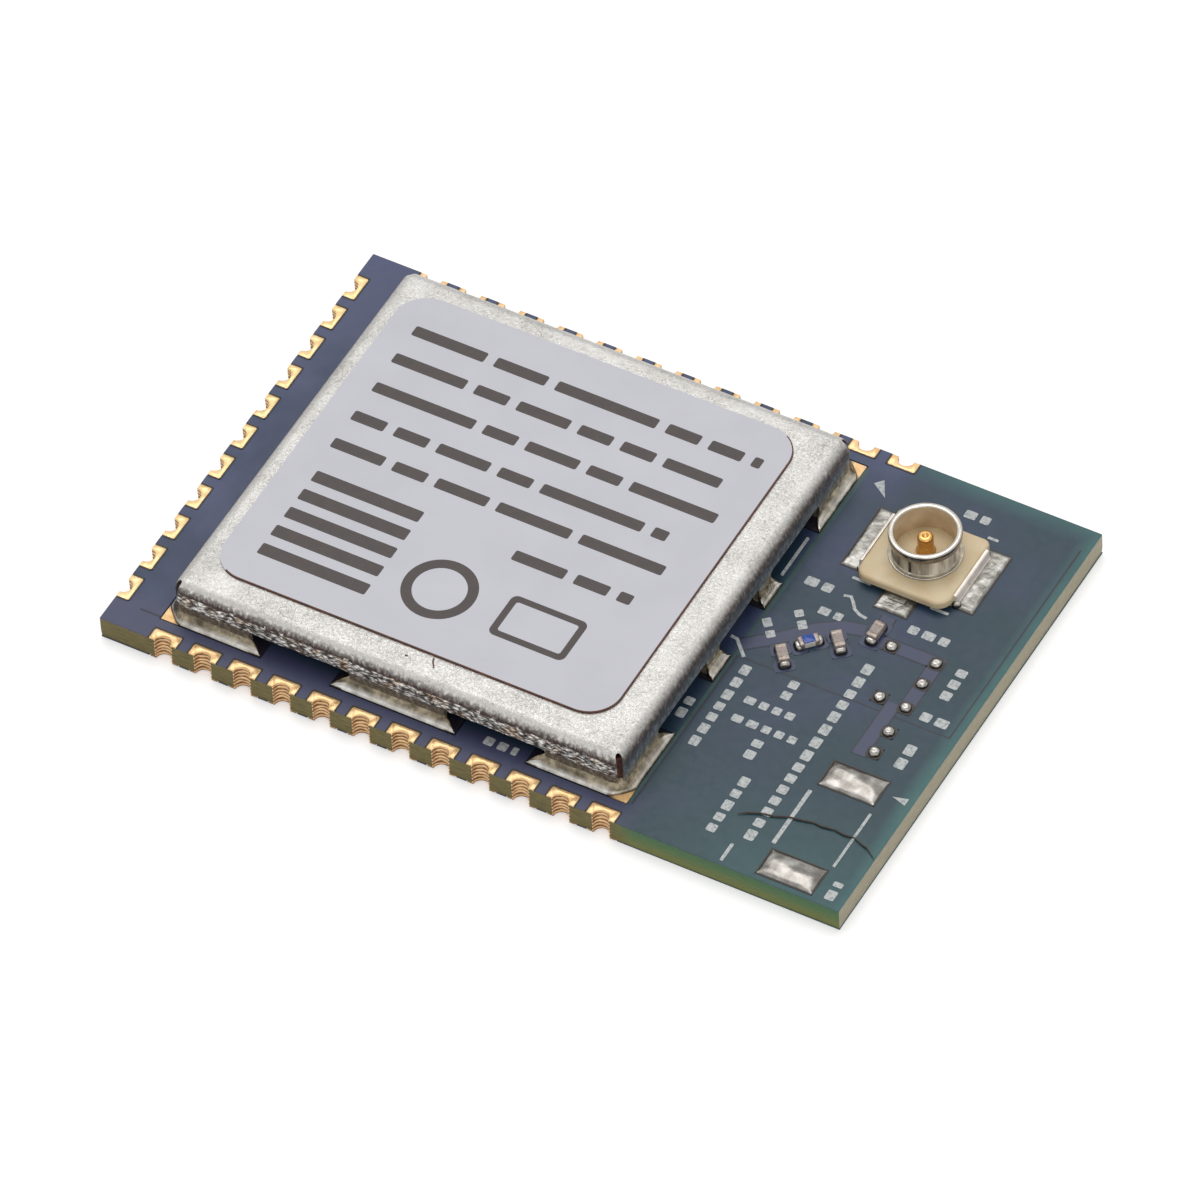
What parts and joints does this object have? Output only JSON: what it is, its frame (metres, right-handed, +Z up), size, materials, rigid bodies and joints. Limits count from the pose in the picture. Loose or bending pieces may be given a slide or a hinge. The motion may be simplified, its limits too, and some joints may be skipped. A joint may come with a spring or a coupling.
{
  "type": "wifi module",
  "caption": "Castellated circuit module with a windowed metal shield can over the radio, a blank label on top and a push-on coaxial aerial socket beside it.",
  "frame": {"origin": "centre of the board's underside", "axes": "+X along the board towards the socket end, +Y towards the far long side, where the socket is, +Z up out of the component side"},
  "size_m": [0.0224, 0.0148, 0.0021],
  "materials": {
    "laminate": "epoxy-glass laminate, cut edge",
    "solder_mask": "slate-blue solder mask, satin",
    "gold_plating": "gold over nickel, satin",
    "tinned_steel": "matt tin-plated sheet",
    "solder": "reflowed solder, bright",
    "label_film": "matt coated label stock",
    "socket_silver": "silver-plated, polished",
    "socket_gold": "gold-plated, polished",
    "socket_resin": "moulded liquid-crystal polymer",
    "chip_ceramic": "fired ceramic, matt",
    "chip_tin": "tin-plated end cap",
    "resistor_glaze": "blue overglaze",
    "moulding_black": "black epoxy moulding",
    "ferrite": "moulded ferrite, matt",
    "filter_ceramic": "fired ceramic, blue-grey"
  },
  "bodies": {
    "root": {"board_laminate": "laminate", "top_solder_mask": "solder_mask", "under_solder_mask": "solder_mask", "near_contact_row": "gold_plating", "far_contact_row": "gold_plating", "end_contact_row": "gold_plating", "ground_pad_land": "gold_plating", "shield_lands": "gold_plating", "shield_can": "tinned_steel", "shield_solder": "solder", "label": "label_film", "socket_shell": "socket_silver", "socket_insulator": "socket_resin", "socket_centre_pin": "socket_gold", "socket_lands": "gold_plating", "socket_solder": "solder", "chip_lands": "gold_plating", "chip_solder": "solder", "resistor_core": "chip_ceramic", "resistor_caps": "chip_tin", "resistor_coat": "resistor_glaze", "upper_chip_core": "chip_ceramic", "upper_chip_caps": "chip_tin", "lower_chip_core": "chip_ceramic", "lower_chip_caps": "chip_tin", "blocking_capacitor_core": "chip_ceramic", "blocking_capacitor_caps": "chip_tin", "bump_lands": "gold_plating", "solder_bumps": "solder", "aerial_lands": "gold_plating", "aerial_solder": "solder", "radio_package": "moulding_black", "radio_terminals": "chip_tin", "radio_slug": "chip_tin", "crystal_base": "chip_ceramic", "crystal_lid": "tinned_steel", "filter_core": "filter_ceramic", "filter_caps": "chip_tin", "inductor_cores": "ferrite", "inductor_caps": "chip_tin", "capacitor_cores": "chip_ceramic", "capacitor_caps": "chip_tin"}
  },
  "joints": []
}
